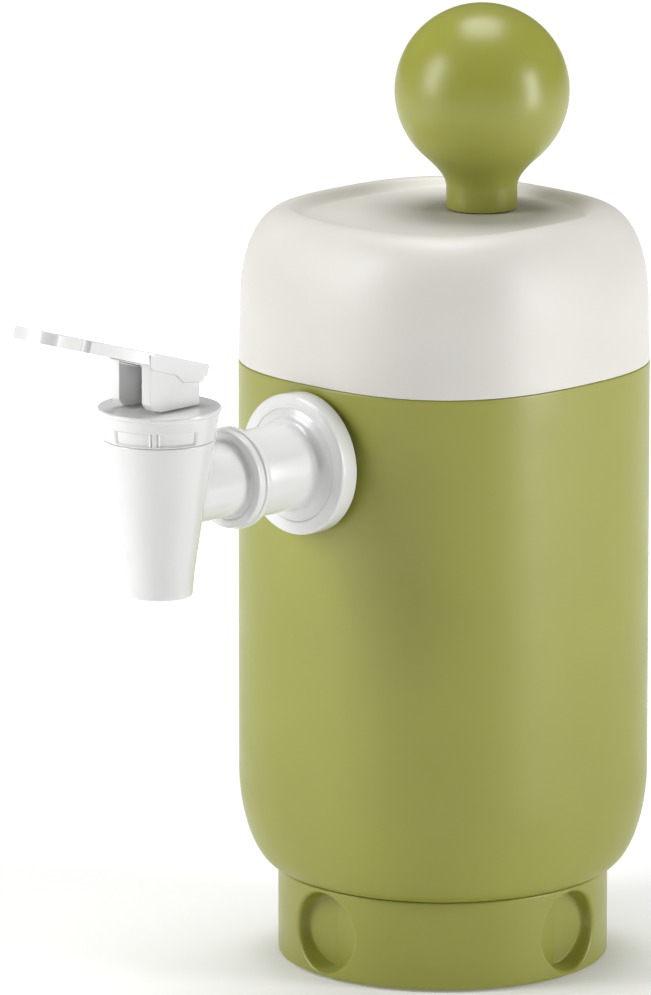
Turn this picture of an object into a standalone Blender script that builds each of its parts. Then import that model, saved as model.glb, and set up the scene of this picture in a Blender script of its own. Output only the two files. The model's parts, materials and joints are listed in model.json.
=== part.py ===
"""Tabletop water jug with a lever tap, a tall lid and a ball-topped stopper.

Frame: origin on the vessel's upright axis at the resting face, +Z up, the tap
points to -Y, +X is to the right of someone who faces the tap from the vessel.
All lengths below are in millimetres and are turned into metres when a mesh is
made.
"""
import math

import bmesh
import bpy
from mathutils import Matrix, Vector

MM = 0.001
GAP = 0.3                      # clearance left between pieces that touch

# ---------------------------------------------------------------- main sizes
BODY_FLAT = 63.0               # half width over the flats of the body plan
BODY_N = 2.6                   # superellipse exponent of the body plan
BASE_R = 55.2                  # base ring
Z_JOIN = 31.0                  # underside of the vessel
Z_BULGE = 63.0                 # top of the vessel's rounded bottom
Z_SEAM = 203.3                 # lower edge of the lid
WALL = 2.5                     # vessel wall
FLOOR_T = 3.0                  # vessel floor
SEGS = 40                      # facets round the plan

LID_WALL = 2.2
LID_SHOULDER_Z = 218.0         # where the lid starts to round over
RIM_Z = 254.2                  # crest of the lid's rim
RIM_FLAT, RIM_N = 46.8, 2.75   # crest of the rim in plan, like BODY_FLAT and BODY_N
DISH_WALL = 5.4                # width of the soft wall between crest and dish floor
DISH_Z = 251.1                 # dish floor

PORT_Y = 17.7                  # filling port and knob, behind the axis
BALL_R = 29.0
BALL_Z = 290.8
NECK_R = 11.8

TAP_Z = 178.0                  # axis of the tap's side tube
CONE_Y = -131.9                # axis of the tap's cone
BONNET_Z = 207.0               # top of the bonnet
PIN_Z = 213.5                  # lever pin
LEVER_TILT = math.degrees(math.atan(0.297))

SCOOP_Z = 15.67                # finger scoops of the base ring
SCOOP_R = 14.55
SCOOP_DEPTH_N = 47.6           # distance of the scoop's crease from the axis
SCOOP_SLOPE = 0.1655
SCOOP_ANGLES = (-95.0, 5.0, 85.0, 185.0)     # plan angles from +X, degrees
SCREW_R = 30.0                 # pitch radius of the base screws

# ---------------------------------------------------------------- clean start
for ob in list(bpy.data.objects):
    bpy.data.objects.remove(ob, do_unlink=True)

PARTS = bpy.data.collections.new("water_jug")
CUTTERS = bpy.data.collections.new("water_jug_cutters")
bpy.context.scene.collection.children.link(PARTS)
bpy.context.scene.collection.children.link(CUTTERS)


# ---------------------------------------------------------------- materials
def material(name, colour, rough, metal=0.0):
    mat = bpy.data.materials.new(name)
    mat.use_nodes = True
    bsdf = mat.node_tree.nodes["Principled BSDF"]
    bsdf.inputs["Base Color"].default_value = (*colour, 1.0)
    bsdf.inputs["Roughness"].default_value = rough
    bsdf.inputs["Metallic"].default_value = metal
    return mat


GREEN = material("olive_plastic", (0.36, 0.37, 0.10), 0.38)
CREAM = material("warm_white_plastic", (0.66, 0.64, 0.58), 0.42)
WHITE = material("white_tap_plastic", (0.80, 0.80, 0.78), 0.25)
SILICONE = material("clear_silicone", (0.72, 0.73, 0.72), 0.55)
PAD = material("grey_silicone", (0.24, 0.24, 0.23), 0.7)
STEEL = material("stainless_steel", (0.62, 0.62, 0.61), 0.3, 1.0)


# ---------------------------------------------------------------- helpers
def add_object(name, mesh, mat=None, loc=(0, 0, 0), rot=(0, 0, 0)):
    ob = bpy.data.objects.new(name, mesh)
    ob.location = [v * MM for v in loc]
    ob.rotation_euler = [math.radians(v) for v in rot]
    if mat is None:
        CUTTERS.objects.link(ob)
        ob.hide_render = True
        ob.display_type = 'WIRE'
    else:
        PARTS.objects.link(ob)
        mesh.materials.append(mat)
    return ob


def shoelace(pts):
    return 0.5 * sum(a[0] * b[1] - b[0] * a[1]
                     for a, b in zip(pts, pts[1:] + pts[:1]))


def lathe(name, pts, mat=None, segs=32, loc=(0, 0, 0), rot=(0, 0, 0)):
    """Turned solid: a profile of (radius, height) with a Screw modifier.

    A profile whose two ends lie on the axis is an open chain; any other
    profile is a closed loop.  It always runs down its outer side.
    """
    pts = [tuple(p) for p in pts]
    if shoelace(pts) > 0:
        pts = pts[::-1]
    on_axis = [p[0] < 1e-6 for p in pts]
    is_open = any(on_axis)
    if is_open:                       # start the chain on the axis
        while not (pts[0][0] < 1e-6 and pts[-1][0] < 1e-6):
            pts = pts[1:] + pts[:1]
    mesh = bpy.data.meshes.new(name)
    bm = bmesh.new()
    vs = [bm.verts.new((r * MM, 0.0, z * MM)) for r, z in pts]
    for a, b in zip(vs, vs[1:]):
        bm.edges.new((a, b))
    if not is_open:
        bm.edges.new((vs[-1], vs[0]))
    bm.to_mesh(mesh)
    bm.free()
    ob = add_object(name, mesh, mat, loc, rot)
    mod = ob.modifiers.new("turn", 'SCREW')
    mod.axis = 'Z'
    mod.angle = 2.0 * math.pi
    mod.steps = segs
    mod.render_steps = segs
    mod.use_merge_vertices = True
    mod.merge_threshold = 0.00001
    mod.use_smooth_shade = True
    return ob


def loft(name, rings, mat=None, loc=(0, 0, 0)):
    """Closed solid through rings of equal length, capped at both ends."""
    mesh = bpy.data.meshes.new(name)
    bm = bmesh.new()
    rows = [[bm.verts.new([c * MM for c in p]) for p in ring] for ring in rings]
    n = len(rows[0])
    for a, b in zip(rows, rows[1:]):
        for i in range(n):
            j = (i + 1) % n
            bm.faces.new((a[i], a[j], b[j], b[i]))
    bm.faces.new(rows[0][::-1])
    bm.faces.new(rows[-1])
    bmesh.ops.recalc_face_normals(bm, faces=bm.faces)
    bm.to_mesh(mesh)
    bm.free()
    ob = add_object(name, mesh, mat, loc)
    mesh.shade_smooth()
    mesh.set_sharp_from_angle(angle=math.radians(35))
    return ob


def box(name, size, centre, mat=None, rot=(0, 0, 0)):
    mesh = bpy.data.meshes.new(name)
    bm = bmesh.new()
    bmesh.ops.create_cube(bm, size=1.0)
    for v in bm.verts:
        v.co = Vector((v.co.x * size[0] * MM, v.co.y * size[1] * MM,
                       v.co.z * size[2] * MM))
    bm.to_mesh(mesh)
    bm.free()
    return add_object(name, mesh, mat, centre, rot)


def rod(name, radius, length, centre, mat=None, rot=(0, 0, 0), segs=24):
    """Straight cylinder along its own Z, centred."""
    mesh = bpy.data.meshes.new(name)
    bm = bmesh.new()
    bmesh.ops.create_cone(bm, cap_ends=True, segments=segs,
                          radius1=radius * MM, radius2=radius * MM,
                          depth=length * MM)
    bm.to_mesh(mesh)
    bm.free()
    ob = add_object(name, mesh, mat, centre, rot)
    mesh.shade_smooth()
    mesh.set_sharp_from_angle(angle=math.radians(35))
    return ob


def prism(name, outline, x0, x1, mat=None, loc=(0, 0, 0), rot=(0, 0, 0)):
    """Flat outline in the local YZ plane, extruded from x0 to x1: a filled
    2D curve turned into a mesh."""
    cu = bpy.data.curves.new(name + "_outline", 'CURVE')
    cu.dimensions = '2D'
    cu.fill_mode = 'BOTH'
    cu.extrude = 0.5 * abs(x1 - x0) * MM
    sp = cu.splines.new('POLY')
    sp.points.add(len(outline) - 1)
    for p, (y, z) in zip(sp.points, outline):
        p.co = (y * MM, z * MM, 0.0, 1.0)
    sp.use_cyclic_u = True
    tmp = bpy.data.objects.new(name + "_tmp", cu)
    CUTTERS.objects.link(tmp)
    bpy.context.view_layer.update()
    dg = bpy.context.evaluated_depsgraph_get()
    mesh = bpy.data.meshes.new_from_object(tmp.evaluated_get(dg))
    bpy.data.objects.remove(tmp, do_unlink=True)
    mesh.name = name
    bm = bmesh.new()
    bm.from_mesh(mesh)
    bmesh.ops.remove_doubles(bm, verts=bm.verts, dist=0.00001)
    # curve plane (y, z) -> world YZ, extrusion -> X
    turn = Matrix(((0, 0, 1), (1, 0, 0), (0, 1, 0))).to_4x4()
    bmesh.ops.transform(bm, matrix=turn, verts=bm.verts)
    bmesh.ops.translate(bm, vec=(0.5 * (x0 + x1) * MM, 0, 0), verts=bm.verts)
    bmesh.ops.recalc_face_normals(bm, faces=bm.faces)
    bm.to_mesh(mesh)
    bm.free()
    return add_object(name, mesh, mat, loc, rot)


def boolean(target, tool, op='DIFFERENCE'):
    mod = target.modifiers.new(op.lower() + "_" + tool.name, 'BOOLEAN')
    mod.operation = op
    mod.solver = 'EXACT'
    mod.object = tool
    return mod


def plan_radius(theta, flat=BODY_FLAT, n=BODY_N):
    c, s = abs(math.cos(theta)), abs(math.sin(theta))
    return flat / (c ** n + s ** n) ** (1.0 / n)


def ring(z, radius, segs=SEGS, centre=(0.0, 0.0)):
    """radius is a number or a function of the plan angle."""
    out = []
    for i in range(segs):
        t = 2.0 * math.pi * i / segs
        r = radius(t) if callable(radius) else radius
        out.append((centre[0] + r * math.cos(t), centre[1] + r * math.sin(t), z))
    return out


# ---------------------------------------------------------------- vessel
def vessel_ring(z, inset=0.0):
    """Plan of the rounded bottom: a circle at Z_JOIN, the body above."""
    u = min(1.0, max(0.0, (Z_BULGE - z) / (Z_BULGE - Z_JOIN)))
    f = math.sqrt(max(0.0, 1.0 - u ** 1.8))
    return ring(z, lambda t: 55.0 + (plan_radius(t) - 55.0) * f - inset)


rings = []
for i in range(0, 8):
    phi = math.radians(90.0 * i / 7)
    rings.append(vessel_ring(Z_BULGE - (Z_BULGE - Z_JOIN) * math.cos(phi)))
rings.append(ring(Z_SEAM - GAP - 0.6, plan_radius))
rings.append(ring(Z_SEAM - GAP, lambda t: plan_radius(t) - 0.5))
rings.append(ring(Z_SEAM - GAP, lambda t: plan_radius(t) - WALL))
rings.append(ring(Z_BULGE, lambda t: plan_radius(t) - WALL))
inner_floor = Z_JOIN + FLOOR_T
for i in range(1, 5):
    phi = math.radians(90.0 * i / 4)
    z = Z_BULGE - (Z_BULGE - inner_floor) * math.sin(phi)
    f = math.cos(phi)
    rings.append(ring(z, lambda t, f=f: 50.0 + (plan_radius(t) - WALL - 50.0) * f))
vessel = loft("body_vessel", rings, GREEN)

boolean(vessel, rod("cut_seat_outer", 20.0, 2.6, (0, -61.9, TAP_Z), rot=(90, 0, 0), segs=36), 'UNION')
boolean(vessel, rod("cut_seat_inner", 15.0, 3.0, (0, -60.0, TAP_Z), rot=(90, 0, 0), segs=28), 'UNION')
boolean(vessel, rod("cut_tap_hole", 9.2, 30.0, (0, -60.0, TAP_Z), rot=(90, 0, 0), segs=28))
SCREW_POS = [(SCREW_R * math.cos(math.radians(a)), SCREW_R * math.sin(math.radians(a)))
             for a in (45, 135, 225, 315)]
for k, (x, y) in enumerate(SCREW_POS):
    boolean(vessel, rod("post_%d" % k, 5.0, 23.2, (x, y, 9.3 + 11.6), segs=12), 'UNION')
for k, (x, y) in enumerate(SCREW_POS):
    boolean(vessel, rod("post_hole_%d" % k, 1.6, 20.0, (x, y, 14.3), segs=8))

# ---------------------------------------------------------------- base ring
base_profile = [(0, 4.9), (52.0, 4.9), (52.0, Z_JOIN - GAP), (54.7, Z_JOIN - GAP),
                (BASE_R, Z_JOIN - GAP - 0.5), (BASE_R, 1.9), (54.8, 1.0),
                (54.0, 0.6), (47.5, 0.6), (47.5, 2.3), (0, 2.3)]
base = lathe("base_ring", base_profile, GREEN, segs=48)


def scoop_cutter(name, angle, r, segs=24):
    """Short lying cylinder whose inner end is a shallow V: the crease stands
    upright through the middle of the scoop."""
    mesh = bpy.data.meshes.new(name)
    bm = bmesh.new()
    inner, outer = [], []
    for i in range(segs):
        t = 2.0 * math.pi * i / segs
        x, z = r * math.sin(t), r * math.cos(t)
        inner.append(bm.verts.new((x * MM, (SCOOP_DEPTH_N + SCOOP_SLOPE * abs(x)) * MM, z * MM)))
        outer.append(bm.verts.new((x * MM, 62.0 * MM, z * MM)))
    for i in range(segs):
        j = (i + 1) % segs
        bm.faces.new((inner[i], inner[j], outer[j], outer[i]))
    bm.faces.new(outer)
    half = segs // 2
    bm.faces.new(inner[:half + 1])
    bm.faces.new(inner[half:] + inner[:1])
    bmesh.ops.recalc_face_normals(bm, faces=bm.faces)
    bm.to_mesh(mesh)
    bm.free()
    # local +Y becomes the plan direction of the scoop
    return add_object(name, mesh, None, (0, 0, SCOOP_Z), (0, 0, angle - 90.0))


for k, a in enumerate(SCOOP_ANGLES):
    t = math.radians(a)
    back = box("scoop_back_%d" % k, (6.8, 32.0, 26.1),
               (48.2 * math.cos(t), 48.2 * math.sin(t), 4.1 + 13.05), rot=(0, 0, a))
    boolean(base, back, 'UNION')
for k, (x, y) in enumerate(SCREW_POS):
    boolean(base, rod("floor_post_%d" % k, 6.5, 5.0, (x, y, 6.5), segs=12), 'UNION')
for k, a in enumerate(SCOOP_ANGLES):
    boolean(base, scoop_cutter("scoop_%d" % k, a, SCOOP_R))
for k, (x, y) in enumerate(SCREW_POS):
    boolean(base, rod("floor_bore_%d" % k, 1.9, 12.0, (x, y, 6.0), segs=8))
    boolean(base, rod("floor_head_%d" % k, 3.8, 6.0, (x, y, 3.0), segs=12))

# ---------------------------------------------------------------- base pad
lathe("base_pad", [(0, 2.0), (46.7, 2.0), (47.0, 1.7), (47.0, 0.4), (46.6, 0.0), (0, 0.0)],
      PAD, segs=36)


def screw_profile(z_head_bottom, head_h, head_r, shank_r, z_tip):
    """Pan-head screw that points up; its head is at the bottom."""
    z0 = z_head_bottom
    return [(0, z_tip), (shank_r * 0.35, z_tip - 0.4), (shank_r, z_tip - 2.0),
            (shank_r, z0 + head_h), (head_r, z0 + head_h), (head_r, z0 + 0.6),
            (head_r - 0.7, z0), (0, z0)]


for k, (x, y) in enumerate(SCREW_POS):
    lathe("base_screw_%d" % (k + 1), screw_profile(4.1, 1.6, 3.2, 1.25, 22.0), STEEL, 8, (x, y, 0))

# ---------------------------------------------------------------- tap fitting
# local height of these turned pieces is the distance from the jug's axis,
# because they are laid over to point along -Y
LAID = (90, 0, 0)
fitting = lathe("tap_fitting", [
    (5.5, 46.0), (8.1, 46.0), (8.7, 46.8), (8.7, 64.7), (22.9, 64.7), (23.4, 65.3),
    (23.4, 70.8), (22.9, 71.6), (22.2, 71.9), (17.4, 72.1), (15.9, 72.8), (14.9, 74.2), (14.6, 75.6),
    (14.2, 97.1), (10.5, 97.1), (10.5, 79.6), (5.5, 79.6)],
    WHITE, 32, (0, 0, TAP_Z), LAID)

lathe("outer_gasket", [(9.3, 63.5), (20.0, 63.5), (20.4, 63.9), (20.4, 64.4), (9.3, 64.4)],
      SILICONE, 24, (0, 0, TAP_Z), LAID)
lathe("inner_gasket", [(9.3, 56.9), (13.9, 56.9), (14.2, 57.2), (14.2, 58.2), (9.3, 58.2)],
      SILICONE, 20, (0, 0, TAP_Z), LAID)

nut = lathe("back_nut", [(9.0, 49.5), (12.6, 49.5), (13.4, 50.3), (13.4, 54.6), (14.3, 54.9),
                         (14.3, 56.6), (9.0, 56.6)], WHITE, 18, (0, 0, TAP_Z), LAID)
for k in range(6):
    a = math.radians(60 * k)
    boolean(nut, box("nut_flat_%d" % k, (18.0, 6.0, 4.0),
                     (14.1 * math.cos(a), -51.45, TAP_Z + 14.1 * math.sin(a)),
                     rot=(0, -60 * k + 90, 0)))

# ---------------------------------------------------------------- tap body
body_tap = lathe("tap_body", [
    (0, 196.2), (17.7, 196.2), (18.05, 195.6), (16.95, 189.7), (15.0, 178.2),
    (12.5, 161.4), (11.15, 152.0), (10.55, 145.5), (10.25, 144.7), (0, 144.7)],
    WHITE, 30, (0, CONE_Y, 0))
side_tube = lathe("side_tube", [
    (0, 80.0), (9.4, 80.0), (10.0, 80.6), (10.0, 84.0), (8.5, 84.0), (8.5, 87.4), (10.0, 87.4),
    (10.0, 97.4), (16.4, 97.4), (16.9, 97.9), (16.9, 99.4), (16.2, 99.9), (16.2, 101.8),
    (15.2, 102.6), (13.2, 102.6), (12.2, 103.6), (12.0, 105.0), (12.0, 128.0), (0, 128.0)],
    None, 28, (0, 0, TAP_Z), LAID)
boolean(body_tap, side_tube, 'UNION')
bore = lathe("valve_chamber", [
    (0, 201.0), (14.2, 201.0), (14.2, 187.0), (12.0, 186.0), (12.0, 168.0), (5.5, 168.0),
    (5.5, 165.5), (8.0, 163.0), (8.2, 150.0), (9.3, 144.0), (9.3, 140.0), (0, 140.0)],
    None, 22, (0, CONE_Y, 0))
boolean(body_tap, bore)
boolean(body_tap, rod("waterway", 5.5, 50.0, (0, -(76 + 25), TAP_Z), rot=(90, 0, 0), segs=12))

lathe("tube_o_ring", [(9.5 + 0.75 * math.cos(math.radians(a)), 85.7 + 1.2 * math.sin(math.radians(a)))
                      for a in range(0, 360, 60)], SILICONE, 18, (0, 0, TAP_Z), LAID)

bonnet = lathe("tap_bonnet", [
    (3.4, BONNET_Z), (19.6, BONNET_Z), (20.1, 206.5), (20.1, 205.8), (19.6, 205.4), (19.3, 205.2),
    (18.15, 196.6), (13.9, 196.6), (13.9, 191.0), (9.0, 191.0),
    (9.0, 202.0), (3.4, 202.0)], WHITE, 30, (0, CONE_Y, 0))

# ---------------------------------------------------------------- valve spring
SPRING_Z0, SPRING_Z1, SPRING_R, SPRING_TURNS, WIRE_R = 175.4, 201.1, 6.2, 5.0, 0.6
cu = bpy.data.curves.new("valve_spring_path", 'CURVE')
cu.dimensions = '3D'
cu.bevel_depth = WIRE_R * MM
cu.bevel_resolution = 1
cu.use_fill_caps = True
sp = cu.splines.new('POLY')
COUNT = int(SPRING_TURNS * 9) + 1
sp.points.add(COUNT - 1)
for i, p in enumerate(sp.points):
    f = i / (COUNT - 1)
    a = 2 * math.pi * SPRING_TURNS * f
    p.co = (SPRING_R * math.cos(a) * MM, SPRING_R * math.sin(a) * MM,
            (SPRING_Z0 + (SPRING_Z1 - SPRING_Z0) * f - SPRING_Z0) * MM, 1.0)
ob = bpy.data.objects.new("valve_spring", cu)
ob.location = (0, CONE_Y * MM, SPRING_Z0 * MM)
cu.materials.append(STEEL)
PARTS.objects.link(ob)

# ---------------------------------------------------------------- stem, seal
stem = lathe("valve_stem", [
    (0, 38.5), (3.0, 38.5), (3.0, 2.0), (7.4, 2.0), (8.0, 1.4), (8.0, 0.0),
    (2.0, 0.0), (2.0, -2.9), (0, -2.9)], WHITE, 16, (0, CONE_Y, 172.5))
boolean(stem, rod("eye", 4.2, 8.0, (0, CONE_Y, PIN_Z), rot=(0, 90, 0), segs=16), 'UNION')
boolean(stem, rod("eye_hole", 1.8, 20.0, (0, CONE_Y, PIN_Z), rot=(0, 90, 0), segs=12))

lathe("valve_seal", [(0, 169.2 - 172.5), (2.3, 169.2 - 172.5), (2.3, -0.3), (8.2, -0.3), (8.5, -0.7),
                     (8.5, -2.4), (7.0, -4.2), (0, -4.2)], SILICONE, 18, (0, CONE_Y, 172.5))

# ---------------------------------------------------------------- lever
# outlines are (distance forward of the pin, height above the bonnet)


def to_local(outline):
    return [(-u, w - (PIN_Z - BONNET_Z)) for u, w in outline]


def arc(cx, cy, r, a0, a1, n):
    return [(cx + r * math.cos(math.radians(a0 + (a1 - a0) * i / n)),
             cy + r * math.sin(math.radians(a0 + (a1 - a0) * i / n))) for i in range(n + 1)]


P = (0, CONE_Y, PIN_Z)
lever = prism("tap_lever", to_local([
    (-10.9, 8.8), (-10.0, 7.8), (-1.7, 8.9), (0.2, 10.4), (1.6, 11.7), (5.0, 12.7), (12.2, 15.0),
    (13.2, 16.2), (13.2, 20.0), (-10.9, 12.85)]), -9.6, 9.6, WHITE, P)
cheek = [(-9.3, 0.5), (8.0, 0.5), (11.4, 1.5), (13.0, 3.4), (13.0, 17.5), (-9.3, 10.5)]
for s, nm in ((1, "r"), (-1, "l")):
    boolean(lever, prism("cheek_" + nm, to_local(cheek), *(sorted((s * 5.2, s * 9.1))), None, P), 'UNION')

# arm and thumb paddle in plan: half outline (forward, half width)
half = [(-11.0, 9.0), (-10.4, 9.6), (14.0, 9.6), (19.0, 8.6), (40.2, 8.4)]
half += [(u, x) for u, x in arc(42.9, 9.2, 2.2, 200, 340, 6)]
half += [(45.6, 9.3), (46.4, 9.6)]
half += [(u, x) for u, x in arc(60.3 - 5.0, 9.6 - 5.0, 5.0, 90, 0, 6)]
C16 = math.cos(math.radians(LEVER_TILT))
plan = [(-u / C16, x) for u, x in half] + [(-u / C16, -x) for u, x in half[::-1]]
cu = bpy.data.curves.new("arm_outline", 'CURVE')
cu.dimensions = '2D'
cu.fill_mode = 'BOTH'
cu.extrude = 2.0 * MM
sp = cu.splines.new('POLY')
sp.points.add(len(plan) - 1)
for p, (y, x) in zip(sp.points, plan):
    p.co = (x * MM, y * MM, 0.0, 1.0)
sp.use_cyclic_u = True
tmp = bpy.data.objects.new("arm_tmp", cu)
CUTTERS.objects.link(tmp)
bpy.context.view_layer.update()
arm_mesh = bpy.data.meshes.new_from_object(
    tmp.evaluated_get(bpy.context.evaluated_depsgraph_get()))
bpy.data.objects.remove(tmp, do_unlink=True)
bm = bmesh.new()
bm.from_mesh(arm_mesh)
bmesh.ops.remove_doubles(bm, verts=bm.verts, dist=0.00001)
bmesh.ops.recalc_face_normals(bm, faces=bm.faces)
bmesh.ops.translate(bm, vec=(0, 0, 8.06 * MM), verts=bm.verts)
bmesh.ops.rotate(bm, cent=(0, 0, 0), matrix=Matrix.Rotation(math.radians(-LEVER_TILT), 3, 'X'),
                 verts=bm.verts)
bm.to_mesh(arm_mesh)
bm.free()
boolean(lever, add_object("arm", arm_mesh, None, P), 'UNION')
boolean(lever, prism("yoke_slot", to_local([(-7.0, -3.0), (16.0, -3.0), (16.0, 15.4), (13.2, 15.4),
                                            (-1.0, 11.6), (-7.0, 11.6)]), -5.2, 5.2, None, P))
boolean(lever, rod("pin_hole", 1.8, 15.8, P, rot=(0, 90, 0), segs=16))

rod("lever_pin", 1.5, 15.2, P, STEEL, rot=(0, 90, 0), segs=16)

# ---------------------------------------------------------------- lid shell
def rim_radius(t):
    return plan_radius(t, RIM_FLAT, RIM_N)


def lid_radius(t, z, inset=0.0):
    u = min(1.0, max(0.0, (z - LID_SHOULDER_Z) / (RIM_Z - LID_SHOULDER_Z)))
    f = math.sqrt(max(0.0, 1.0 - u ** 2.6))
    draft = 0.5 * min(1.0, max(0.0, (z - Z_SEAM) / (LID_SHOULDER_Z - Z_SEAM)))
    rim = rim_radius(t)
    return rim + (plan_radius(t) - draft - rim) * f - inset


def lid_ring(z, inset=0.0, zref=None):
    zr = z if zref is None else zref
    return ring(z, lambda t: lid_radius(t, zr, inset))


rings = [lid_ring(Z_SEAM)]
for i in range(1, 3):
    rings.append(lid_ring(Z_SEAM + (LID_SHOULDER_Z - Z_SEAM) * i / 2))
for i in range(1, 8):
    z = LID_SHOULDER_Z + (RIM_Z - LID_SHOULDER_Z) * math.sin(math.radians(90.0 * i / 7))
    rings.append(lid_ring(z))
# soft wall of the dish: from the crest down to the floor
for k in (1, 2, 3):
    f = k / 3.0
    s = f * f * (3 - 2 * f)
    rings.append(ring(RIM_Z - (RIM_Z - DISH_Z) * s, lambda t, f=f: rim_radius(t) - 0.5 - (DISH_WALL - 0.5) * f))
rings.append(ring(DISH_Z, 22.0))
top_part = rings
# underside, from the middle outwards and down the inner wall
under = [ring(DISH_Z - LID_WALL, 22.0), ring(DISH_Z - LID_WALL, 44.0)]
for i in range(5, 0, -1):
    z = LID_SHOULDER_Z + (RIM_Z - LID_SHOULDER_Z) * math.sin(math.radians(90.0 * i / 6))
    zi = min(z - 0.6 * LID_WALL, RIM_Z - 1.5 * LID_WALL)
    r_in = [lid_radius(2 * math.pi * j / SEGS, z, LID_WALL * 0.95) for j in range(SEGS)]
    under.append([(r * math.cos(2 * math.pi * j / SEGS), r * math.sin(2 * math.pi * j / SEGS), zi)
                  for j, r in enumerate(r_in)])
under.append(lid_ring(LID_SHOULDER_Z, LID_WALL))
under.append(lid_ring(Z_SEAM, LID_WALL))


def closed_loft(name, rows, mat):
    """Loft through rings that close on themselves: last ring to first ring."""
    mesh = bpy.data.meshes.new(name)
    bm = bmesh.new()
    vs = [[bm.verts.new([c * MM for c in p]) for p in row] for row in rows]
    n = len(vs[0])
    for a, b in zip(vs, vs[1:] + vs[:1]):
        for i in range(n):
            j = (i + 1) % n
            bm.faces.new((a[i], a[j], b[j], b[i]))
    bmesh.ops.recalc_face_normals(bm, faces=bm.faces)
    bm.to_mesh(mesh)
    bm.free()
    ob = add_object(name, mesh, mat)
    mesh.shade_smooth()
    mesh.set_sharp_from_angle(angle=math.radians(35))
    return ob


# the shell: outer side, dish, then a disc closes the middle on both sides
mesh = bpy.data.meshes.new("lid_shell")
bm = bmesh.new()
rows = [[bm.verts.new([c * MM for c in p]) for p in row] for row in top_part + under]
n_top = len(top_part)
for k, (a, b) in enumerate(zip(rows, rows[1:] + rows[:1])):
    if k == n_top - 1:
        continue                       # between the two discs
    for i in range(SEGS):
        j = (i + 1) % SEGS
        bm.faces.new((a[i], a[j], b[j], b[i]))
bm.faces.new(rows[n_top - 1])
bm.faces.new(rows[n_top][::-1])
bmesh.ops.recalc_face_normals(bm, faces=bm.faces)
bm.to_mesh(mesh)
bm.free()
lid = add_object("lid_shell", mesh, CREAM)
mesh.shade_smooth()
mesh.set_sharp_from_angle(angle=math.radians(35))

LID_SCREW_R = 57.0
LID_POS = [(LID_SCREW_R * math.cos(math.radians(a)), LID_SCREW_R * math.sin(math.radians(a)), a)
           for a in (45, 135, 225, 315)]
for k, (x, y, a) in enumerate(LID_POS):
    t = math.radians(a)
    boolean(lid, box("lid_web_%d" % k, (9.4, 3.0, 16.0),
                     (61.9 * math.cos(t), 61.9 * math.sin(t), 214.0), rot=(0, 0, a)), 'UNION')
    boolean(lid, rod("lid_post_%d" % k, 4.0, 16.3, (x, y, 205.7 + 8.15), segs=12), 'UNION')
for k, (x, y, a) in enumerate(LID_POS):
    boolean(lid, rod("lid_post_hole_%d" % k, 1.5, 16.0, (x, y, 211.0), segs=8))
boolean(lid, rod("lid_port", 10.6, 20.0, (0, PORT_Y, 250.0), segs=24))

# ---------------------------------------------------------------- lid liner
SKIRT_Z = 193.6
rows = [
    ring(205.4, lambda t: plan_radius(t) - 3.0), ring(203.1, lambda t: plan_radius(t) - 3.0),
    ring(203.1, lambda t: plan_radius(t) - 3.3), ring(199.2, lambda t: plan_radius(t) - 3.3),
    ring(199.2, lambda t: plan_radius(t) - 5.3), ring(195.8, lambda t: plan_radius(t) - 5.3),
    ring(195.8, lambda t: plan_radius(t) - 3.3), ring(194.3, lambda t: plan_radius(t) - 3.3),
    ring(SKIRT_Z, lambda t: plan_radius(t) - 4.0), ring(SKIRT_Z, lambda t: plan_radius(t) - 7.4),
    ring(203.2, lambda t: plan_radius(t) - 7.6)]
# the plate closes the skirt at the top: first ring capped, last ring capped
liner = loft("lid_liner", rows, CREAM)
boolean(liner, rod("liner_port", 10.7, 20.0, (0, PORT_Y, 204.0), segs=20))
for k, (x, y, a) in enumerate(LID_POS):
    boolean(liner, rod("liner_hole_%d" % k, 1.6, 20.0, (x, y, 204.0), segs=8))

# ---------------------------------------------------------------- lid seal
closed_loft("lid_seal", [
    ring(198.9, lambda t: plan_radius(t) - 5.0), ring(198.9, lambda t: plan_radius(t) - 3.3),
    ring(198.1, lambda t: plan_radius(t) - 2.8), ring(196.9, lambda t: plan_radius(t) - 2.8),
    ring(196.1, lambda t: plan_radius(t) - 3.3), ring(196.1, lambda t: plan_radius(t) - 5.0)],
    SILICONE)

for k, (x, y, a) in enumerate(LID_POS):
    lathe("lid_screw_%d" % (k + 1), screw_profile(201.2, 1.7, 2.9, 1.2, 217.5), STEEL, 8, (x, y, 0))

# ---------------------------------------------------------------- port sleeve
lathe("port_sleeve", [
    (8.9, 250.8), (10.3, 250.8), (10.3, 248.6), (13.2, 248.6), (13.5, 248.3), (13.5, 247.2),
    (10.3, 246.4), (10.3, 190.9), (9.9, 190.5), (8.9, 190.5)],
    CREAM, 20, (0, PORT_Y, 0))

# ---------------------------------------------------------------- ball knob
FOOT_Z = DISH_Z + GAP
knob = [(0, BALL_Z + BALL_R)]
BLEND = 33.0                  # ball angle below the equator where the neck starts
for a in range(80, -41, -10):
    t = math.radians(a)
    knob.append((BALL_R * math.cos(t), BALL_Z + BALL_R * math.sin(t)))
knob += [(18.4, 269.4), (15.2, 266.8), (13.0, 263.2),
         (12.05, 258.5),  (NECK_R, FOOT_Z + 0.5), (NECK_R - 0.4, FOOT_Z),
         (1.5, FOOT_Z), (1.5, 263.0), (0, 263.8)]
ball = lathe("ball_knob", [(r, z - FOOT_Z) for r, z in knob], GREEN, 32, (0, PORT_Y, FOOT_Z))

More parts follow.
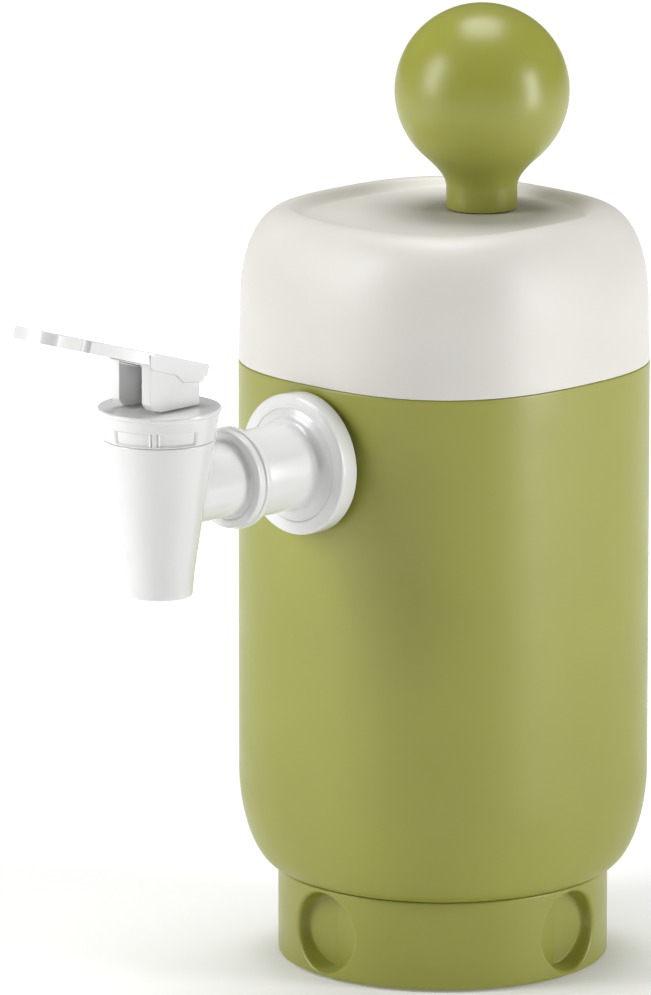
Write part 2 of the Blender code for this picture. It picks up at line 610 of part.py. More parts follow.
# ---------------------------------------------------------------- stopper
lathe("stopper_plug", [(r, z - DISH_Z) for r, z in [
    (1.5, 251.1), (8.0, 251.1), (8.2, 250.8), (8.2, 247.2), (6.8, 247.2), (6.8, 244.8), (8.2, 244.8),
    (8.2, 241.2), (6.8, 241.2), (6.8, 238.8), (8.2, 238.8), (8.2, 234.5), (7.4, 233.5), (5.4, 233.5),
    (5.4, 240.3), (1.5, 240.3)]], CREAM, 18, (0, PORT_Y, DISH_Z))
seal_round = [(7.85 + 0.75 * math.cos(math.radians(a)), 0.9 * math.sin(math.radians(a)))
              for a in range(0, 360, 60)]
for k, zc in enumerate((246.0, 240.0)):
    lathe("stopper_seal_%d" % (k + 1), seal_round, SILICONE, 16, (0, PORT_Y, zc))
lathe("stopper_screw", [(r, z - DISH_Z) for r, z in screw_profile(238.4, 1.6, 3.0, 1.2, 262.4)],
      STEEL, 10, (0, PORT_Y, DISH_Z))

bpy.context.view_layer.update()
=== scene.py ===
import json
import math

import bmesh
import bpy
from mathutils import Matrix, Vector


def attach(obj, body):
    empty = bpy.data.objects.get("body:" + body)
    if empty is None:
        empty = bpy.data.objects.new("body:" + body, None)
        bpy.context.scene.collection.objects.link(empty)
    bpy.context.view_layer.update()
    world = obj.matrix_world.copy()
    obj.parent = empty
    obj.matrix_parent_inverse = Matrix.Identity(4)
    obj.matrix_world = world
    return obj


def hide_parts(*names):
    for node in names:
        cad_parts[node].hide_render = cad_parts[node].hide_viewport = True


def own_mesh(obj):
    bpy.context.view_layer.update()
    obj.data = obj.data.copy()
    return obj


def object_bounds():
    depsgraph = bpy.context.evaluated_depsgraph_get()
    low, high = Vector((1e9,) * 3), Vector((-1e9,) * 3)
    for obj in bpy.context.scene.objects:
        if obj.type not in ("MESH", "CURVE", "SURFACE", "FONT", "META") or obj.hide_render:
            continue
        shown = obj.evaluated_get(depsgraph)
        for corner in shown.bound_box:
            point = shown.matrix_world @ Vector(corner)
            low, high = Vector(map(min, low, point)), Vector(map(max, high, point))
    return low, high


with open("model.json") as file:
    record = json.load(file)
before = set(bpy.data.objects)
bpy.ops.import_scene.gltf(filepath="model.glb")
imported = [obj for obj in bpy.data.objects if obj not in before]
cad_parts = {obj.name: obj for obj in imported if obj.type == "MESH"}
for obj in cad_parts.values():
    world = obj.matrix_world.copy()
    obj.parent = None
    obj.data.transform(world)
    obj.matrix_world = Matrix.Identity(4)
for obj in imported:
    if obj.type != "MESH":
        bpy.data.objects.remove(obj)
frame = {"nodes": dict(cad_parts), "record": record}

CAD_BOX = [list(v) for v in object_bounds()]
MM = 0.001
NODES = frame["nodes"]

# ------------------------------------------------------------ main sizes, mm
BODY_FLAT, BODY_N = 63.0, 2.6
BASE_R, Z_JOIN, Z_BULGE, Z_SEAM, WALL = 55.2, 31.0, 63.0, 203.3, 2.5
LID_WALL, LID_SHOULDER_Z, RIM_Z = 2.2, 218.0, 254.2
RIM_FLAT, RIM_N, DISH_WALL, DISH_Z = 46.8, 2.75, 5.4, 251.1
PORT_Y, BALL_R, BALL_Z, NECK_R = 17.7, 29.0, 290.8, 11.8
TAP_Z, CONE_Y, BONNET_Z, PIN_Z = 178.0, -131.9, 207.0, 213.5
SCOOP_Z, SCOOP_R, SCOOP_DEPTH_N, SCOOP_SLOPE = 15.67, 14.55, 47.6, 0.1655
SCOOP_ANGLES = (-92.5, 5.0, 85.0, 185.0)


# ------------------------------------------------------------ materials
def node(nt, kind, **props):
    n = nt.nodes.new(kind)
    for k, v in props.items():
        setattr(n, k, v)
    return n


def plastic(name, colour, rough, grain=0.25, grain_mm=0.35, vary=0.05, gloss_vary=0.05, edge=0.12,
            metallic=0.0, coat=0.0, coat_rough=0.1, specular=0.5, sub=0.0, sub_radius=(0.004, 0.004, 0.002)):
    """Moulded plastic: fine grain, faint flow marks, uneven gloss and rubbed edges."""
    mat = bpy.data.materials.new(name)
    mat.use_nodes = True
    nt = mat.node_tree
    bsdf = nt.nodes["Principled BSDF"]
    bsdf.inputs["Metallic"].default_value = metallic
    bsdf.inputs["Specular IOR Level"].default_value = specular
    bsdf.inputs["Coat Weight"].default_value = coat
    bsdf.inputs["Coat Roughness"].default_value = coat_rough
    if sub > 0.0:
        bsdf.inputs["Subsurface Weight"].default_value = sub
        bsdf.inputs["Subsurface Radius"].default_value = sub_radius
        bsdf.inputs["Subsurface Scale"].default_value = 1.0
    co = node(nt, "ShaderNodeTexCoord")
    # broad, faint colour variation
    flow = node(nt, "ShaderNodeTexNoise")
    flow.inputs["Scale"].default_value = 22.0
    flow.inputs["Detail"].default_value = 3.0
    nt.links.new(co.outputs["Object"], flow.inputs["Vector"])
    low = tuple(c * (1.0 - vary) for c in colour)
    high = tuple(min(1.0, c * (1.0 + vary)) for c in colour)
    ramp = node(nt, "ShaderNodeValToRGB")
    ramp.color_ramp.elements[0].position = 0.3
    ramp.color_ramp.elements[0].color = (*low, 1.0)
    ramp.color_ramp.elements[1].position = 0.7
    ramp.color_ramp.elements[1].color = (*high, 1.0)
    nt.links.new(flow.outputs["Fac"], ramp.inputs["Fac"])
    # rubbed edges: slightly paler
    geo = node(nt, "ShaderNodeNewGeometry")
    wear = node(nt, "ShaderNodeMapRange")
    wear.inputs["From Min"].default_value = 0.53
    wear.inputs["From Max"].default_value = 0.62
    wear.inputs["To Min"].default_value = 0.0
    wear.inputs["To Max"].default_value = edge
    nt.links.new(geo.outputs["Pointiness"], wear.inputs["Value"])
    mix = node(nt, "ShaderNodeMix", data_type='RGBA')
    pale = tuple(min(1.0, c + (0.9 - c) * 0.45) for c in colour)
    mix.inputs["B"].default_value = (*pale, 1.0)
    nt.links.new(wear.outputs["Result"], mix.inputs["Factor"])
    nt.links.new(ramp.outputs["Color"], mix.inputs["A"])
    nt.links.new(mix.outputs["Result"], bsdf.inputs["Base Color"])
    # gloss that changes a little over the surface
    smear = node(nt, "ShaderNodeTexNoise")
    smear.inputs["Scale"].default_value = 55.0
    smear.inputs["Detail"].default_value = 4.0
    nt.links.new(co.outputs["Object"], smear.inputs["Vector"])
    rr = node(nt, "ShaderNodeMapRange")
    rr.inputs["From Min"].default_value = 0.3
    rr.inputs["From Max"].default_value = 0.7
    rr.inputs["To Min"].default_value = max(0.02, rough - gloss_vary)
    rr.inputs["To Max"].default_value = rough + gloss_vary
    nt.links.new(smear.outputs["Fac"], rr.inputs["Value"])
    nt.links.new(rr.outputs["Result"], bsdf.inputs["Roughness"])
    # spark-eroded mould grain
    fine = node(nt, "ShaderNodeTexNoise")
    fine.inputs["Scale"].default_value = 1000.0 / grain_mm
    fine.inputs["Detail"].default_value = 2.0
    nt.links.new(co.outputs["Object"], fine.inputs["Vector"])
    bump = node(nt, "ShaderNodeBump")
    bump.inputs["Strength"].default_value = grain
    bump.inputs["Distance"].default_value = 0.00002
    nt.links.new(fine.outputs["Fac"], bump.inputs["Height"])
    nt.links.new(bump.outputs["Normal"], bsdf.inputs["Normal"])
    return mat


GREEN = plastic("olive_plastic", (0.285, 0.292, 0.045), 0.34, grain=0.30, vary=0.035, edge=0.10)
CREAM = plastic("warm_white_plastic", (0.645, 0.625, 0.585), 0.44, grain=0.30, vary=0.02, edge=0.10)
WHITE = plastic("white_tap_plastic", (0.69, 0.69, 0.685), 0.20, grain=0.10, vary=0.012, gloss_vary=0.04,
                edge=0.10, coat=0.25, coat_rough=0.08)
SILICONE = plastic("clear_silicone", (0.66, 0.67, 0.66), 0.5, grain=0.5, grain_mm=0.5, vary=0.03, edge=0.0,
                   specular=0.4)
PAD = plastic("grey_silicone", (0.22, 0.22, 0.21), 0.62, grain=0.6, grain_mm=0.6, vary=0.06, edge=0.05,
              specular=0.4)
STEEL = plastic("stainless_steel", (0.60, 0.60, 0.59), 0.24, grain=0.4, grain_mm=0.2, vary=0.05, edge=0.2,
                metallic=1.0)
SLOTS = {"olive_plastic": GREEN, "warm_white_plastic": CREAM, "white_tap_plastic": WHITE,
         "clear_silicone": SILICONE, "grey_silicone": PAD, "stainless_steel": STEEL}

# every CAD node takes its finish; the round ones are drawn smooth with crisp edges
for sub in frame["record"]["subparts"]:
    ob = NODES[sub["node"]]
    ob.data.materials.clear()
    ob.data.materials.append(SLOTS[sub["material_slot"]])
    for p in ob.data.polygons:
        p.use_smooth = True
    w = ob.modifiers.new("join", 'WELD')
    w.merge_threshold = 0.00002
    e = ob.modifiers.new("crisp", 'EDGE_SPLIT')
    e.split_angle = math.radians(32)


# ------------------------------------------------------------ mesh helpers
def finish_mesh(name, bm, mat, body, cad, angle=34.0):
    mesh = bpy.data.meshes.new(name)
    bmesh.ops.recalc_face_normals(bm, faces=bm.faces)
    bm.to_mesh(mesh)
    bm.free()
    mesh.materials.append(mat)
    mesh.shade_smooth()
    mesh.set_sharp_from_angle(angle=math.radians(angle))
    ob = bpy.data.objects.new(name, mesh)
    bpy.context.scene.collection.objects.link(ob)
    if body:
        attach(ob, body)
        if cad:
            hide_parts(cad)
    return ob


def loft_bm(rows, cap_first=False, cap_last=False, closed=False):
    """Skin through rows of points, in millimetres."""
    bm = bmesh.new()
    vs = [[bm.verts.new([c * MM for c in p]) for p in row] for row in rows]
    n = len(vs[0])
    pairs = list(zip(vs, vs[1:] + vs[:1])) if closed else list(zip(vs, vs[1:]))
    for a, b in pairs:
        for i in range(n):
            j = (i + 1) % n
            bm.faces.new((a[i], a[j], b[j], b[i]))
    if cap_first:
        bm.faces.new(vs[0][::-1])
    if cap_last:
        bm.faces.new(vs[-1])
    return bm


def lathe_bm(profile, segs, matrix=None):
    """Turned shape. profile is (radius, height); a radius of 0 makes a pole."""
    bm = bmesh.new()
    rows = []
    for r, z in profile:
        if r <= 1e-6:
            rows.append([bm.verts.new((0, 0, z * MM))])
        else:
            rows.append([bm.verts.new((r * math.cos(2 * math.pi * i / segs) * MM,
                                       r * math.sin(2 * math.pi * i / segs) * MM, z * MM)) for i in range(segs)])
    count = len(rows)
    ring_closed = len(rows[0]) > 1 and len(rows[-1]) > 1
    for k in range(count if ring_closed else count - 1):
        a, b = rows[k], rows[(k + 1) % count]
        for i in range(segs):
            j = (i + 1) % segs
            if len(a) == 1 and len(b) == 1:
                continue
            if len(a) == 1:
                bm.faces.new((a[0], b[j], b[i]))
            elif len(b) == 1:
                bm.faces.new((a[i], a[j], b[0]))
            else:
                bm.faces.new((a[i], a[j], b[j], b[i]))
    if matrix is not None:
        bmesh.ops.transform(bm, matrix=matrix, verts=bm.verts)
    return bm


def rounded(profile, default=0.4, steps=5, closed=True):
    """Rounds the corners of a profile. A point may carry its own radius as a third number."""
    out = []
    n = len(profile)
    for i, p in enumerate(profile):
        r = p[2] if len(p) > 2 else default
        if not closed and i in (0, n - 1):
            out.append(p[:2])
            continue
        a, b = profile[i - 1], profile[(i + 1) % n]
        va = Vector((a[0] - p[0], a[1] - p[1]))
        vb = Vector((b[0] - p[0], b[1] - p[1]))
        if r <= 0 or va.length < 1e-6 or vb.length < 1e-6 or p[0] <= 1e-6:
            out.append(p[:2])
            continue
        ra, rb = min(r, va.length * 0.45), min(r, vb.length * 0.45)
        s = Vector(p[:2]) + va.normalized() * ra
        e = Vector(p[:2]) + vb.normalized() * rb
        c = Vector(p[:2])
        for k in range(steps + 1):
            t = k / steps
            q = s * (1 - t) ** 2 + c * 2 * t * (1 - t) + e * t * t
            out.append((q.x, q.y))
    return out


def laid(z):
    """Places a turned piece whose local height is the distance from the jug's axis towards -Y."""
    return Matrix.Translation((0, 0, z * MM)) @ Matrix.Rotation(math.radians(90), 4, 'X')


def bezier(p0, p1, p2, p3, n):
    out = []
    for k in range(n + 1):
        t = k / n
        out.append(tuple((1 - t) ** 3 * a + 3 * t * (1 - t) ** 2 * b + 3 * t * t * (1 - t) * c + t ** 3 * d
                         for a, b, c, d in zip(p0, p1, p2, p3)))
    return out


def plan_radius(t, flat=BODY_FLAT, n=BODY_N):
    c, s = abs(math.cos(t)), abs(math.sin(t))
    return flat / (c ** n + s ** n) ** (1.0 / n)


SEGS = 200


def ring(z, radius, segs=SEGS):
    row = []
    for i in range(segs):
        t = 2 * math.pi * i / segs
        r = radius(t) if callable(radius) else radius
        row.append((r * math.cos(t), r * math.sin(t), z))
    return row


# ------------------------------------------------------------ vessel
def bottom_ring(z, inset=0.0):
    u = min(1.0, max(0.0, (Z_BULGE - z) / (Z_BULGE - Z_JOIN)))
    f = math.sqrt(max(0.0, 1.0 - u ** 1.8))
    return ring(z, lambda t: 55.0 + (plan_radius(t) - 55.0) * f - inset)


rows = [ring(Z_JOIN, 20.0), ring(Z_JOIN, 50.0), ring(Z_JOIN, 54.6)]
for i in range(0, 33):
    phi = math.radians(90.0 * i / 32)
    rows.append(bottom_ring(Z_BULGE - (Z_BULGE - Z_JOIN) * math.cos(phi)))
for i in range(1, 12):
    rows.append(ring(Z_BULGE + (Z_SEAM - 1.1 - Z_BULGE) * i / 11, plan_radius))
TOP = Z_SEAM - 0.3
for k in range(1, 6):
    a = math.radians(90.0 * k / 5)
    rows.append(ring(TOP - 0.4 + 0.4 * math.sin(a), lambda t, a=a: plan_radius(t) - 0.4 * (1 - math.cos(a))))
rows.append(ring(TOP, lambda t: plan_radius(t) - WALL + 0.4))
rows.append(ring(TOP - 0.4, lambda t: plan_radius(t) - WALL))
for i in range(1, 6):
    rows.append(ring(TOP - 0.4 + (Z_BULGE - TOP + 0.4) * i / 5, lambda t: plan_radius(t) - WALL))
FLOOR = Z_JOIN + 3.0
for i in range(1, 13):
    phi = math.radians(90.0 * i / 12)
    f = math.cos(phi)
    rows.append(ring(Z_BULGE - (Z_BULGE - FLOOR) * math.sin(phi),
                     lambda t, f=f: 50.0 + (plan_radius(t) - WALL - 50.0) * f))
rows.append(ring(FLOOR, 20.0))
vessel = finish_mesh("vessel_skin", loft_bm(rows, True, True), GREEN, "jug", "body_vessel")


# ------------------------------------------------------------ base ring
def scoop_depth(theta, z):
    """How far the base ring's outer face is pushed in at this point."""
    best = 0.0
    for a in SCOOP_ANGLES:
        d = (theta - math.radians(a) + math.pi) % (2 * math.pi) - math.pi
        if abs(d) > 0.5:
            continue
        l, v = BASE_R * math.sin(d), z - SCOOP_Z
        s = MOUTH_R - math.hypot(l, v)
        if s <= -MOUTH_FILLET:
            continue
        # the floor: two planes that meet in an upright crease, softened over 0.6 mm
        soft = math.sqrt(math.sin(d) ** 2 + 0.00002)
        floor = BASE_R - SCOOP_DEPTH_N / (math.cos(d) - SCOOP_SLOPE * soft)
        if s < 0.0:
            k = s + MOUTH_FILLET
            depth = MOUTH_FILLET - math.sqrt(max(0.0, MOUTH_FILLET ** 2 - k * k))
        else:
            w = min(1.0, s / 0.6)
            wall = 1.0 - (1.0 - w) ** 3
            depth = MOUTH_FILLET + (floor - MOUTH_FILLET) * wall
        best = max(best, min(depth, floor))
    return best


MOUTH_R, MOUTH_FILLET = 13.2, 1.55
angles = []
t = 0.0
step_list = []
while t < 360.0 - 1e-6:
    near = min(abs((t - a + 180.0) % 360.0 - 180.0) for a in SCOOP_ANGLES)
    angles.append(t)
    t += 0.3 if near < 17.0 else 2.0
COLS = len(angles)


def base_row(z, radius):
    return [(radius(math.radians(a)) * math.cos(math.radians(a)),
             radius(math.radians(a)) * math.sin(math.radians(a)), z) if callable(radius) else
            (radius * math.cos(math.radians(a)), radius * math.sin(math.radians(a)), z) for a in angles]


rows = [base_row(4.9, 16.0), base_row(4.9, 44.5), base_row(4.9, 44.6), base_row(30.3, 44.6), base_row(30.7, 45.0),
        base_row(30.7, 54.5)]
for k in range(1, 4):
    a = math.radians(90.0 * k / 4)
    rows.append(base_row(30.1 + 0.6 * math.cos(a), lambda th, a=a: BASE_R - 0.6 * (1 - math.sin(a))
                         - scoop_depth(th, 30.1)))
ZS = []
z = 30.1
while z > 1.6:
    ZS.append(z)
    z -= 0.36 if (z > 26.5 or z < 5.0) else 0.45
ZS.append(1.6)
for z in ZS:
    rows.append(base_row(z, lambda th, z=z: BASE_R - scoop_depth(th, z)))
for k in range(1, 4):
    a = math.radians(90.0 * k / 4)
    rows.append(base_row(1.6 - 1.0 * math.sin(a), lambda th, a=a: BASE_R - 1.0 * (1 - math.cos(a))
                         - scoop_depth(th, 1.6)))
rows.append(base_row(0.6, 53.4))
rows.append(base_row(0.6, 47.8))
rows.append(base_row(0.9, 47.5))
rows.append(base_row(2.3, 47.5))
rows.append(base_row(2.3, 16.0))
base = finish_mesh("base_ring_skin", loft_bm(rows, True, True), GREEN, "jug", "base_ring", angle=50)


# ------------------------------------------------------------ lid
def rim_radius(t):
    return plan_radius(t, RIM_FLAT, RIM_N)


def lid_radius(t, z, inset=0.0):
    u = min(1.0, max(0.0, (z - LID_SHOULDER_Z) / (RIM_Z - LID_SHOULDER_Z)))
    f = math.sqrt(max(0.0, 1.0 - u ** 2.6))
    draft = 0.5 * min(1.0, max(0.0, (z - Z_SEAM) / (LID_SHOULDER_Z - Z_SEAM)))
    rim = rim_radius(t)
    return rim + (plan_radius(t) - draft - rim) * f - inset


def lid_ring(z, inset=0.0, zref=None):
    return ring(z, lambda t: lid_radius(t, z if zref is None else zref, inset))


rows = []
for k in range(0, 6):
    a = math.radians(90.0 * k / 5)
    rows.append(ring(Z_SEAM - 0.16 + 0.25 * (1 - math.sin(a)),
                     lambda t, a=a: plan_radius(t) - 0.25 * (1 - math.cos(a))))
rows = rows[::-1]
rows = rows[::1]
rows_up = rows
for i in range(1, 7):
    rows_up.append(lid_ring(Z_SEAM + 0.8 + (LID_SHOULDER_Z - Z_SEAM - 0.8) * i / 6))
for i in range(1, 34):
    rows_up.append(lid_ring(LID_SHOULDER_Z + (RIM_Z - LID_SHOULDER_Z) * math.sin(math.radians(90.0 * i / 34))))
rows_up.append(ring(RIM_Z, rim_radius))
for k in range(1, 15):
    f = k / 14.0
    s = f * f * (3 - 2 * f)
    rows_up.append(ring(RIM_Z - (RIM_Z - DISH_Z) * s, lambda t, f=f: rim_radius(t) - DISH_WALL * f))
rows_up.append(ring(DISH_Z, 34.0))
# the port: the dish floor runs in to a round hole behind the middle


def port_ring(z, blend, r=10.6):
    """From a circle about the axis (blend 0) to the port's circle (blend 1)."""
    row = []
    for i in range(SEGS):
        t = 2 * math.pi * i / SEGS
        x0, y0 = 34.0 * math.cos(t), 34.0 * math.sin(t)
        x1, y1 = r * math.cos(t), PORT_Y + r * math.sin(t)
        row.append((x0 + (x1 - x0) * blend, y0 + (y1 - y0) * blend, z))
    return row


for b in (0.35, 0.7, 0.98):
    rows_up.append(port_ring(DISH_Z, b))
rows_up.append(port_ring(DISH_Z - 0.3, 1.0))
rows_up.append(port_ring(DISH_Z - LID_WALL, 1.0))
rows_up.append(port_ring(DISH_Z - LID_WALL, 0.5))
rows_up.append(ring(DISH_Z - LID_WALL, 34.0))
rows_up.append(ring(DISH_Z - LID_WALL, 44.0))
for i in range(11, 0, -1):
    z = LID_SHOULDER_Z + (RIM_Z - LID_SHOULDER_Z) * math.sin(math.radians(90.0 * i / 12))
    rows_up.append(lid_ring(min(z - 0.6 * LID_WALL, RIM_Z - 1.5 * LID_WALL), LID_WALL * 0.95, z))
rows_up.append(lid_ring(LID_SHOULDER_Z, LID_WALL))
rows_up.append(lid_ring(Z_SEAM + 0.3, LID_WALL))
rows_up.append(lid_ring(Z_SEAM, LID_WALL - 0.3))
lid = finish_mesh("lid_skin", loft_bm(rows_up, closed=True), CREAM, "lid", "lid_shell")

# ------------------------------------------------------------ ball knob
FOOT_Z = DISH_Z + 0.3
profile = [(0.0, BALL_Z + BALL_R)]
for a in range(88, -49, -2):
    t = math.radians(a)
    profile.append((BALL_R * math.cos(t), BALL_Z + BALL_R * math.sin(t)))
t = math.radians(-48)
p0 = (BALL_R * math.cos(t), BALL_Z + BALL_R * math.sin(t))
d0 = (math.sin(t), -math.cos(t))
profile += bezier(p0, (p0[0] + d0[0] * 5.5, p0[1] + d0[1] * 5.5), (NECK_R + 0.1, 262.2), (NECK_R, 258.6), 14)[1:]
profile += [(NECK_R, 255.0), (NECK_R, FOOT_Z + 0.45), (NECK_R - 0.12, FOOT_Z + 0.13), (NECK_R - 0.4, FOOT_Z),
            (1.6, FOOT_Z), (1.6, 263.0), (0.0, 263.8)]
ball = finish_mesh("ball_knob_skin",
                   lathe_bm(profile, 128, Matrix.Translation((0, PORT_Y * MM, 0))), GREEN,
                   "stopper", "ball_knob")

# ------------------------------------------------------------ tap fitting
flare = bezier((17.6, 72.05), (15.6, 72.2), (14.7, 73.4), (14.55, 76.2), 12)
profile = rounded([(5.5, 46.0), (8.1, 46.0), (8.7, 46.8), (8.7, 64.7, 0.2), (23.4, 64.7, 0.7), (23.4, 71.75, 1.2),
                   (20.9, 71.75, 0.8), (19.0, 71.95, 0.5)], 0.3)
profile += flare
profile += rounded([(14.55, 76.2), (14.2, 97.1, 0.6), (10.5, 97.1, 0.5), (10.5, 79.6, 0.2), (5.5, 79.6, 0.2)],
                   closed=False)[1:]
fitting = finish_mesh("fitting_skin", lathe_bm(profile, 128, laid(TAP_Z)), WHITE, "jug", "tap_fitting")

# ------------------------------------------------------------ tap body
CONE = [(18.05, 195.6), (16.95, 189.7), (15.0, 178.2), (12.5, 161.4), (11.15, 152.0), (10.55, 145.5)]


def cone_radius(z):
    for (r1, z1), (r0, z0) in zip(CONE, CONE[1:]):
        if z >= z0:
            return r0 + (r1 - r0) * (z - z0) / (z1 - z0)
    return CONE[-1][0]


outer = [(18.0, 196.48, 0.15), (18.12, 196.2, 0.1)] + [(cone_radius(z), z, 0.0) for z in
                                  [195.6 - (195.6 - 145.5) * k / 40 for k in range(41)]]
outer += [(10.3, 144.7, 0.5), (9.35, 144.7, 0.4), (8.2, 150.0, 1.0), (8.0, 163.0, 0.5), (5.5, 165.5, 0.5),
          (5.5, 168.0, 0.2), (12.0, 168.0, 0.2), (12.0, 186.0, 0.2), (14.2, 187.0, 0.2), (14.2, 196.48, 0.2)]
cone = finish_mesh("tap_cone_skin", lathe_bm(rounded(outer, 0.0), 112, Matrix.Translation((0, CONE_Y * MM, 0))),
                   WHITE, "jug", "tap_body")

TUBE_R = 12.0
profile = rounded([(10.6, 97.4, 0.3), (16.85, 97.4, 0.7), (16.85, 99.5, 0.6), (16.15, 99.7, 0.4), (16.2, 102.6, 0.9),
                   (13.4, 102.5, 0.4)], 0.3, closed=True)
profile += bezier((13.2, 102.3), (12.3, 102.2), (12.0, 102.9), (12.0, 105.0), 8)[1:]
profile += [(TUBE_R, 112.0), (TUBE_R, 124.0), (10.6, 124.0)]
tube = finish_mesh("tap_tube_skin", lathe_bm(profile, 112, laid(TAP_Z)), WHITE, "jug", None)

# soft fillet where the tube runs into the cone
rows = [[] for _ in range(9)]
N_F = 120
for i in range(N_F):
    phi = 2 * math.pi * i / N_F
    x, dz = TUBE_R * math.cos(phi), TUBE_R * math.sin(phi)
    z = TAP_Z + dz
    rz = cone_radius(z)
    y = math.sqrt(max(0.0, rz * rz - x * x))
    alpha = math.atan2(x, y)
    rho = 1.5
    g = 1.0 + rho / TUBE_R
    a2, z2 = alpha * g, TAP_Z + dz * g
    r2 = cone_radius(z2) + 0.02
    pt = (x * 1.001, CONE_Y + y + rho, TAP_Z + dz * 1.001)
    pm = (x, CONE_Y + y, z)
    pc = (r2 * math.sin(a2), CONE_Y + r2 * math.cos(a2), z2)
    for k in range(9):
        t = k / 8.0
        rows[k].append(tuple(a * (1 - t) ** 2 + b * 2 * t * (1 - t) + c * t * t for a, b, c in zip(pt, pm, pc)))
fillet = finish_mesh("tap_fillet_skin", loft_bm(rows), WHITE, "jug", None, angle=180)

# ------------------------------------------------------------ bonnet
B_SEGS = 240


def window(az_deg, z):
    """Depth of the two recessed windows of the bonnet's skirt, and their middle tab."""
    d = (az_deg - 40.5 + 90.0) % 180.0 - 90.0
    if abs(d) > 45.5:
        return 0.0
    w = min(1.0, max(0.0, (45.5 - abs(d)) / 1.6))
    v = min(1.0, max(0.0, (z - (BONNET_Z - 9.9)) / 0.35)) * min(1.0, max(0.0, (BONNET_Z - 5.2 - z) / 0.35))
    depth = 0.75 * w * v
    t = abs(abs(d) - 2.6)
    if abs(d) < 5.0:
        depth *= 0.35 if t > 0.9 else 1.0
    return depth


profile = rounded([(3.4, 202.0, 0.2), (3.4, BONNET_Z, 0.2), (20.1, BONNET_Z, 0.75), (20.05, 205.75, 0.3),
                   (19.45, 205.3, 0.25)], 0.2, closed=False)
rows_b = [[(r * math.cos(2 * math.pi * i / B_SEGS), CONE_Y + r * math.sin(2 * math.pi * i / B_SEGS), z)
           for i in range(B_SEGS)] for r, z in profile]
for k in range(0, 31):
    z = 205.2 - (205.2 - 196.75) * k / 30
    r0 = 19.3 + (18.12 - 19.3) * (205.2 - z) / (205.2 - 196.6)
    row = []
    for i in range(B_SEGS):
        t = 2 * math.pi * i / B_SEGS
        az_deg = math.degrees(t) + 90.0          # 0 towards -Y, 90 towards +X
        r = r0 - window(az_deg, z)
        row.append((r * math.cos(t), CONE_Y + r * math.sin(t), z))
    rows_b.append(row)
for r, z in [(17.95, 196.6), (14.0, 196.6), (13.9, 196.5), (13.9, 191.0), (9.0, 191.0), (9.0, 202.0)]:
    rows_b.append([(r * math.cos(2 * math.pi * i / B_SEGS), CONE_Y + r * math.sin(2 * math.pi * i / B_SEGS), z)
                   for i in range(B_SEGS)])
bonnet = finish_mesh("bonnet_skin", loft_bm(rows_b, closed=True), WHITE, "jug", "tap_bonnet",
                     angle=40)

# ------------------------------------------------------------ lever
src = NODES["tap_lever"].data
bm = bmesh.new()
bm.from_mesh(src)
bmesh.ops.remove_doubles(bm, verts=bm.verts, dist=0.00002)
bmesh.ops.dissolve_limit(bm, angle_limit=math.radians(2.0), verts=bm.verts, edges=bm.edges)
lever = finish_mesh("lever_skin", bm, WHITE, "lever", "tap_lever", angle=30)
bv = lever.modifiers.new("soft_edges", 'BEVEL')
bv.width = 0.00045
bv.segments = 3
bv.limit_method = 'ANGLE'
bv.angle_limit = math.radians(35)
bv.use_clamp_overlap = True
bv.harden_normals = False

# ------------------------------------------------------------ valve spring
bm = bmesh.new()
bm.from_mesh(NODES["valve_spring"].data)
bmesh.ops.remove_doubles(bm, verts=bm.verts, dist=0.00001)
spring = finish_mesh("valve_spring_coil", bm, STEEL, "jug", "valve_spring", angle=50)
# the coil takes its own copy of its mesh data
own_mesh(spring)

# ------------------------------------------------------------ floor
floor_mat = bpy.data.materials.new("pale_floor")
floor_mat.use_nodes = True
nt = floor_mat.node_tree
b = nt.nodes["Principled BSDF"]
b.inputs["Base Color"].default_value = (0.86, 0.86, 0.86, 1.0)
b.inputs["Roughness"].default_value = 0.75
b.inputs["Specular IOR Level"].default_value = 0.1
b.inputs["Emission Color"].default_value = (1.0, 1.0, 1.0, 1.0)
# the sweep gets brighter away from the jug, like a lit studio table
coord = nt.nodes.new("ShaderNodeTexCoord")
dist = nt.nodes.new("ShaderNodeVectorMath")
dist.operation = 'LENGTH'
nt.links.new(coord.outputs["Object"], dist.inputs[0])
ramp = nt.nodes.new("ShaderNodeMapRange")
ramp.interpolation_type = 'SMOOTHSTEP'
ramp.inputs["From Min"].default_value = 0.15
ramp.inputs["From Max"].default_value = 1.1
ramp.inputs["To Min"].default_value = 0.16
ramp.inputs["To Max"].default_value = 0.80
nt.links.new(dist.outputs["Value"], ramp.inputs["Value"])
nt.links.new(ramp.outputs["Result"], b.inputs["Emission Strength"])
bm = bmesh.new()
bmesh.ops.create_grid(bm, x_segments=8, y_segments=8, size=7.0)
mesh = bpy.data.meshes.new("floor")
bm.to_mesh(mesh)
bm.free()
mesh.materials.append(floor_mat)
floor_ob = bpy.data.objects.new("floor", mesh)
floor_ob.location = (0, 0, CAD_BOX[0][2] - 0.0002)
bpy.context.scene.collection.objects.link(floor_ob)

# ------------------------------------------------------------ light
VIEW_AZ = 44.0


def area(name, azimuth, elevation, dist, size_x, size_y, power, target=(0, 0, 0.16)):
    a, e = math.radians(azimuth), math.radians(elevation)
    d = Vector((math.sin(a) * math.cos(e), -math.cos(a) * math.cos(e), math.sin(e)))
    data = bpy.data.lights.new(name, 'AREA')
    data.shape = 'RECTANGLE'
    data.size, data.size_y = size_x, size_y
    data.energy = power
    ob = bpy.data.objects.new(name, data)
    ob.location = Vector(target) + d * dist
    ob.rotation_mode = 'QUATERNION'
    ob.rotation_quaternion = (-d).to_track_quat('-Z', 'Y')
    bpy.context.scene.collection.objects.link(ob)
    return ob


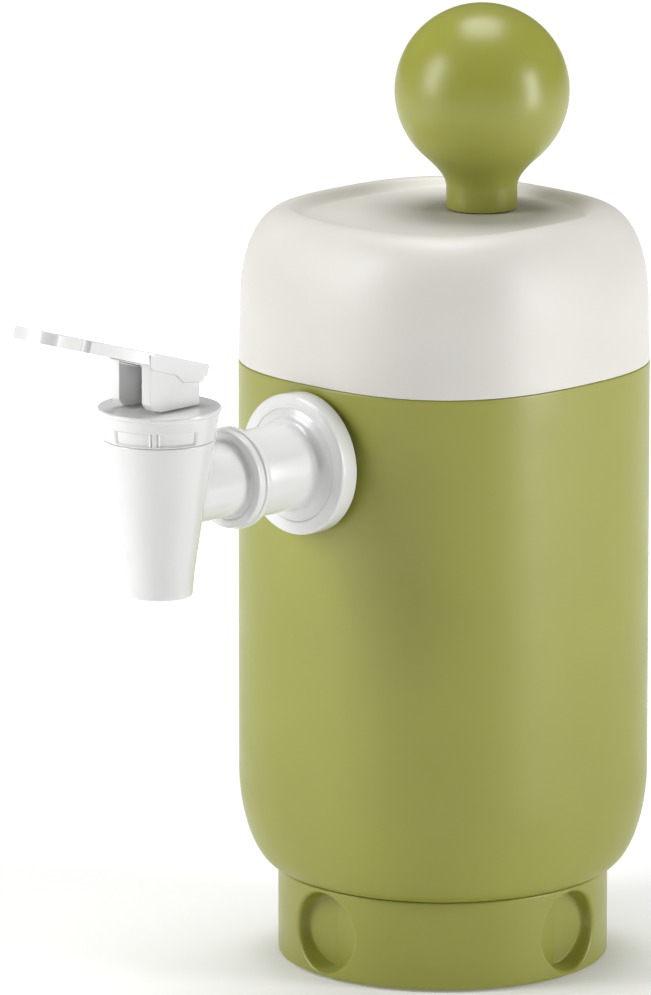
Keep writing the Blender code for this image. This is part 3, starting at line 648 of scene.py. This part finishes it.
area("key_left", VIEW_AZ - 72, 24, 1.3, 0.5, 0.9, 11.6)
area("key_right", VIEW_AZ + 70, 10, 1.3, 0.4, 0.9, 10.8)
area("overhead", VIEW_AZ + 180, 80, 1.3, 0.7, 0.7, 11.6)

world = bpy.data.worlds.new("studio")
world.use_nodes = True
bg = world.node_tree.nodes["Background"]
bg.inputs["Color"].default_value = (1.0, 1.0, 1.0, 1.0)
bg.inputs["Strength"].default_value = 0.13
bpy.context.scene.world = world
bpy.context.scene.view_settings.view_transform = 'Standard'
bpy.context.scene.view_settings.look = 'None'
bpy.context.scene.view_settings.exposure = 0.0
bpy.context.scene.view_settings.gamma = 1.0

# ------------------------------------------------------------ camera
W, H = 651.0, 995.0
FOCAL = 9613.0                      # pixels
DIST, HEIGHT = 3.118, 0.867
BASE_AT = (442.5, 948.0)            # where the base centre lies in the frame
az = math.radians(VIEW_AZ)
pos = Vector((DIST * math.sin(az), -DIST * math.cos(az), HEIGHT))


def axes(yaw, pitch):
    fwd = Vector((-math.sin(yaw) * math.cos(pitch), math.cos(yaw) * math.cos(pitch), -math.sin(pitch)))
    right = Vector((math.cos(yaw), math.sin(yaw), 0.0))
    return right, right.cross(fwd), fwd


def project(yaw, pitch, p):
    right, up, fwd = axes(yaw, pitch)
    d = Vector(p) - pos
    return W / 2 + FOCAL * d.dot(right) / d.dot(fwd), H / 2 - FOCAL * d.dot(up) / d.dot(fwd)


yaw, pitch = az, math.radians(13.0)
for _ in range(20):
    x, y = project(yaw, pitch, (0, 0, 0))
    e = 1e-5
    dx = (project(yaw + e, pitch, (0, 0, 0))[0] - x) / e
    dy = (project(yaw, pitch + e, (0, 0, 0))[1] - y) / e
    yaw += (BASE_AT[0] - x) / dx
    pitch += (BASE_AT[1] - y) / dy
right, up, fwd = axes(yaw, pitch)
cam_data = bpy.data.cameras.new("camera")
cam_data.sensor_fit = 'AUTO'
cam_data.sensor_width = 36.0
cam_data.lens = FOCAL / H * 36.0
cam_data.clip_start, cam_data.clip_end = 0.1, 50.0
cam = bpy.data.objects.new("camera", cam_data)
rot = Matrix((right, up, -fwd)).transposed().to_4x4()
cam.matrix_world = Matrix.Translation(pos) @ rot
bpy.context.scene.collection.objects.link(cam)
bpy.context.scene.camera = cam
print("camera", round(math.degrees(yaw), 3), round(math.degrees(pitch), 3), project(yaw, pitch, (0, 0, 0)),
      project(yaw, pitch, (0, PORT_Y * MM, BALL_Z * MM)))
